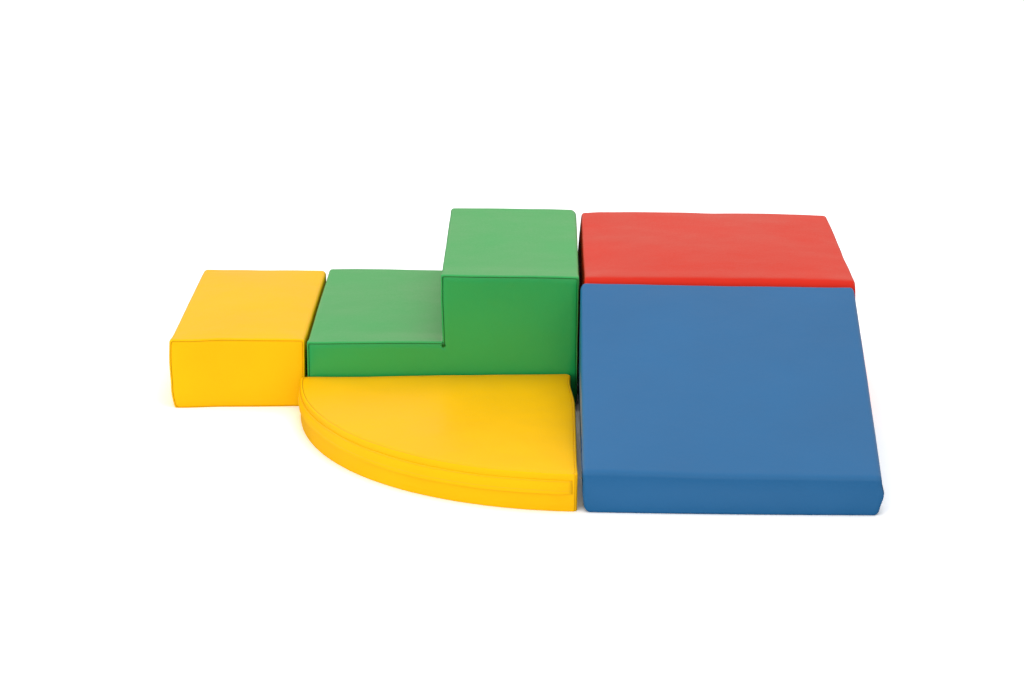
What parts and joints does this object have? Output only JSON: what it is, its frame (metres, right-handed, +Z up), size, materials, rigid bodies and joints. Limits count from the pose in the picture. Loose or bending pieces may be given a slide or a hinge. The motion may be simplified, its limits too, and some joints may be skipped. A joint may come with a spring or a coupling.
{
  "type": "soft play foam climber",
  "caption": "Low toddler climber of soft foam blocks in bright vinyl covers: platform, ramp, steps, end block and quarter-round mat in a row.",
  "frame": {"origin": "on the floor under the middle of the whole climber", "axes": "+Z up; +X from the low end block to the platform; +Y from the ramp to the platform"},
  "size_m": [1.5253, 1.2312, 0.315],
  "materials": {
    "red_vinyl": "satin",
    "blue_vinyl": "satin",
    "green_vinyl": "satin",
    "yellow_vinyl": "satin",
    "non_slip_base": "matte",
    "foam": "matte",
    "zip_metal": "satin",
    "hook_tape": "matte",
    "loop_tape": "matte"
  },
  "bodies": {
    "platform": {"platform_core": "foam", "platform_wrap": "red_vinyl", "platform_left_panel": "red_vinyl", "platform_right_panel": "red_vinyl", "platform_base": "non_slip_base", "platform_zip": "red_vinyl", "platform_zip_flap": "red_vinyl", "platform_hook_strip_left": "hook_tape", "platform_hook_strip_front": "hook_tape"},
    "ramp": {"ramp_core": "foam", "ramp_wrap": "blue_vinyl", "ramp_left_panel": "blue_vinyl", "ramp_right_panel": "blue_vinyl", "ramp_base": "non_slip_base", "ramp_zip": "blue_vinyl", "ramp_zip_flap": "blue_vinyl", "ramp_loop_strip_back": "loop_tape"},
    "steps": {"steps_core": "foam", "steps_wrap": "green_vinyl", "steps_front_panel": "green_vinyl", "steps_back_panel": "green_vinyl", "steps_base": "non_slip_base", "steps_zip": "green_vinyl", "steps_zip_flap": "green_vinyl", "steps_loop_strip_right": "loop_tape", "steps_hook_strip_left": "hook_tape", "steps_hook_strip_front": "hook_tape"},
    "end_block": {"end_block_core": "foam", "end_block_wrap": "yellow_vinyl", "end_block_front_panel": "yellow_vinyl", "end_block_back_panel": "yellow_vinyl", "end_block_base": "non_slip_base", "end_block_zip": "yellow_vinyl", "end_block_zip_flap": "yellow_vinyl", "end_block_loop_strip_right": "loop_tape"},
    "mat": {"mat_core": "foam", "mat_top": "yellow_vinyl", "mat_arc_band": "yellow_vinyl", "mat_side_band": "yellow_vinyl", "mat_base": "non_slip_base", "mat_zip": "yellow_vinyl", "mat_zip_flap": "yellow_vinyl", "mat_loop_strip_back": "loop_tape"},
    "platform_slider": {"platform_zip_slider": "zip_metal"},
    "ramp_slider": {"ramp_zip_slider": "zip_metal"},
    "steps_slider": {"steps_zip_slider": "zip_metal"},
    "end_block_slider": {"end_block_zip_slider": "zip_metal"},
    "mat_slider": {"mat_zip_slider": "zip_metal"}
  },
  "joints": [
    {"name": "ramp_pull", "type": "slide", "parent": "platform", "child": "ramp", "axis": [0, -1, 0], "range_m": [0, 0.6]},
    {"name": "steps_pull", "type": "slide", "parent": "platform", "child": "steps", "axis": [-1, 0, 0], "range_m": [0, 0.6]},
    {"name": "end_block_pull", "type": "slide", "parent": "steps", "child": "end_block", "axis": [-1, 0, 0], "range_m": [0, 0.6]},
    {"name": "mat_pull", "type": "slide", "parent": "steps", "child": "mat", "axis": [0, -1, 0], "range_m": [0, 0.6]},
    {"name": "platform_zip_run", "type": "slide", "parent": "platform", "child": "platform_slider", "axis": [1, 0, 0], "range_m": [0, 0.505]},
    {"name": "ramp_zip_run", "type": "slide", "parent": "ramp", "child": "ramp_slider", "axis": [0, 1, 0], "range_m": [0, 0.505]},
    {"name": "steps_zip_run", "type": "slide", "parent": "steps", "child": "steps_slider", "axis": [1, 0, 0], "range_m": [0, 0.511]},
    {"name": "end_block_zip_run", "type": "slide", "parent": "end_block", "child": "end_block_slider", "axis": [1, 0, 0], "range_m": [0, 0.203]},
    {"name": "mat_zip_run", "type": "hinge", "parent": "mat", "child": "mat_slider", "pos_m": [0.1445, -0.0025, 0.048], "axis": [0, 0, 1], "range_deg": [0, 81]}
  ]
}
